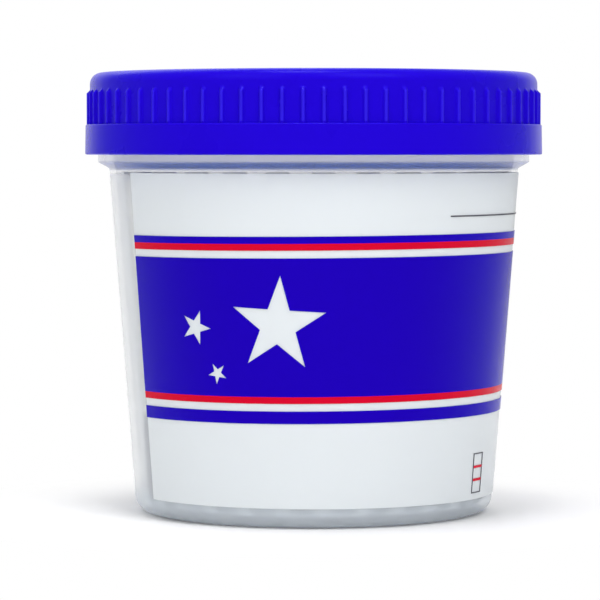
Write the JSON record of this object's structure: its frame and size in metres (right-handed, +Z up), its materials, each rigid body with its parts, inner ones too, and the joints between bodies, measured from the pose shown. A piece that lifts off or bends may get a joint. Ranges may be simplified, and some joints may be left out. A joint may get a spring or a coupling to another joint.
{
  "type": "drug test cup",
  "caption": "Translucent tapered specimen cup with a ribbed screw lid, a curved rack of test strips against the inside of its wall and a printed peel-off label.",
  "frame": {"origin": "centre of the foot ring, on the surface that the cup stands on", "axes": "+Z up along the cup's axis, -Y towards the front of the label, +X to the right of someone who faces the label"},
  "size_m": [0.088, 0.088, 0.0843],
  "materials": {
    "cup_plastic": "frosted translucent polypropylene",
    "lid_plastic": "satin moulded polypropylene",
    "liner_foam": "closed-cell foam",
    "carrier_plastic": "moulded polystyrene",
    "strip_card": "laminated card",
    "sample_pad": "glass fibre pad",
    "membrane": "nitrocellulose",
    "absorbent_pad": "cellulose pad",
    "label_film": "satin white label film",
    "blue_print": "printed ink",
    "red_print": "printed ink",
    "black_print": "printed ink"
  },
  "bodies": {
    "cup": {"cup": "cup_plastic", "strip_carrier": "carrier_plastic", "strip_01_backing": "strip_card", "strip_01_sample_pad": "sample_pad", "strip_01_membrane": "membrane", "strip_01_absorbent_pad": "absorbent_pad", "strip_02_backing": "strip_card", "strip_02_sample_pad": "sample_pad", "strip_02_membrane": "membrane", "strip_02_absorbent_pad": "absorbent_pad", "strip_03_backing": "strip_card", "strip_03_sample_pad": "sample_pad", "strip_03_membrane": "membrane", "strip_03_absorbent_pad": "absorbent_pad", "strip_04_backing": "strip_card", "strip_04_sample_pad": "sample_pad", "strip_04_membrane": "membrane", "strip_04_absorbent_pad": "absorbent_pad", "strip_05_backing": "strip_card", "strip_05_sample_pad": "sample_pad", "strip_05_membrane": "membrane", "strip_05_absorbent_pad": "absorbent_pad", "strip_06_backing": "strip_card", "strip_06_sample_pad": "sample_pad", "strip_06_membrane": "membrane", "strip_06_absorbent_pad": "absorbent_pad", "strip_07_backing": "strip_card", "strip_07_sample_pad": "sample_pad", "strip_07_membrane": "membrane", "strip_07_absorbent_pad": "absorbent_pad", "strip_08_backing": "strip_card", "strip_08_sample_pad": "sample_pad", "strip_08_membrane": "membrane", "strip_08_absorbent_pad": "absorbent_pad", "strip_09_backing": "strip_card", "strip_09_sample_pad": "sample_pad", "strip_09_membrane": "membrane", "strip_09_absorbent_pad": "absorbent_pad", "strip_10_backing": "strip_card", "strip_10_sample_pad": "sample_pad", "strip_10_membrane": "membrane", "strip_10_absorbent_pad": "absorbent_pad", "strip_11_backing": "strip_card", "strip_11_sample_pad": "sample_pad", "strip_11_membrane": "membrane", "strip_11_absorbent_pad": "absorbent_pad", "strip_12_backing": "strip_card", "strip_12_sample_pad": "sample_pad", "strip_12_membrane": "membrane", "strip_12_absorbent_pad": "absorbent_pad", "label_film": "label_film", "label_blue_print": "blue_print", "label_red_print": "red_print", "label_black_print": "black_print"},
    "liner": {"lid_liner": "liner_foam"},
    "lid": {"screw_lid": "lid_plastic"}
  },
  "joints": [
    {"name": "lid_lift", "type": "slide", "parent": "cup", "child": "liner", "axis": [0, 0, 1], "range_m": [0, 0.0064]},
    {"name": "lid_turn", "type": "hinge", "parent": "liner", "child": "lid", "pos_m": [0, 0, 0.0818], "axis": [0, 0, 1], "range_deg": [0, 450]}
  ],
  "couplings": [
    {"joint": "lid_lift", "follows": "lid_turn", "m_per_rad": 0.00080851}
  ]
}
